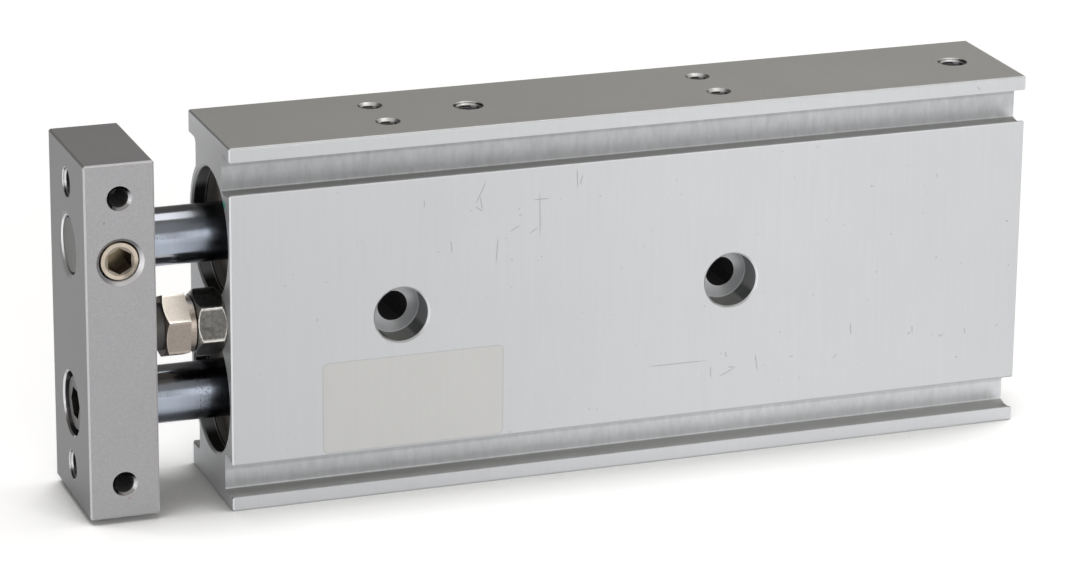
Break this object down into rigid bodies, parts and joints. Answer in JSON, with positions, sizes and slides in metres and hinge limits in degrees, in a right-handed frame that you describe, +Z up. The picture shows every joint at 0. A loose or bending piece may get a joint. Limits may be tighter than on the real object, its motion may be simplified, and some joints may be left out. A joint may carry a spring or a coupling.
{
  "type": "guided pneumatic cylinder",
  "caption": "Guided pneumatic cylinder: a flat extruded body with two bores whose rods move one end plate, with switch grooves, counterbored mounting holes and an adjustable stop.",
  "frame": {"origin": "under the middle of the whole outline with the rods home, at the height of the body's lower edge", "axes": "+X along the stroke from the end plate to the body's head end, +Y to the back of the body, away from its switch grooves, +Z up across the two bores"},
  "size_m": [0.1694, 0.025, 0.064],
  "materials": {
    "body_aluminium": "clear anodised, fine satin grain",
    "plate_aluminium": "clear anodised, matt",
    "bearing_alloy": "turned bearing alloy, dull",
    "chromed_steel": "hard chrome, ground",
    "nickel_steel": "nickel plated",
    "black_steel": "black oxide",
    "spring_steel": "phosphated spring steel",
    "black_rubber": "black rubber, satin",
    "guide_plastic": "bearing plastic, matt",
    "magnet": "sintered magnet, matt"
  },
  "bodies": {
    "cylinder_body": {"housing": "body_aluminium", "adjuster_bolt": "nickel_steel", "adjuster_nut": "nickel_steel", "adjuster_pad": "black_rubber", "port_plugs": "black_steel", "rod_cover_upper": "bearing_alloy", "rod_seal_upper": "black_rubber", "rod_cover_o_ring_upper": "black_rubber", "rod_cover_ring_upper": "spring_steel", "head_cover_ring_upper": "spring_steel", "head_cover_upper": "body_aluminium", "head_cover_o_ring_upper": "black_rubber", "rod_cover_lower": "bearing_alloy", "rod_seal_lower": "black_rubber", "rod_cover_o_ring_lower": "black_rubber", "rod_cover_ring_lower": "spring_steel", "head_cover_ring_lower": "spring_steel", "head_cover_lower": "body_aluminium", "head_cover_o_ring_lower": "black_rubber"},
    "rods_and_plate": {"end_plate": "plate_aluminium", "rod_clamp_screw": "nickel_steel", "rod_cap_screw": "black_steel", "piston_rod_upper": "chromed_steel", "piston_front_upper": "plate_aluminium", "piston_rear_upper": "plate_aluminium", "piston_magnet_upper": "magnet", "guide_ring_upper": "guide_plastic", "piston_seals_upper": "black_rubber", "piston_nut_upper": "nickel_steel", "rod_bumper_upper": "black_rubber", "head_bumper_upper": "black_rubber", "piston_rod_lower": "chromed_steel", "piston_front_lower": "plate_aluminium", "piston_rear_lower": "plate_aluminium", "piston_magnet_lower": "magnet", "guide_ring_lower": "guide_plastic", "piston_seals_lower": "black_rubber", "piston_nut_lower": "nickel_steel", "rod_bumper_lower": "black_rubber", "head_bumper_lower": "black_rubber"}
  },
  "joints": [
    {"name": "rod_slide", "type": "slide", "parent": "cylinder_body", "child": "rods_and_plate", "axis": [-1, 0, 0], "range_m": [0, 0.075]}
  ]
}
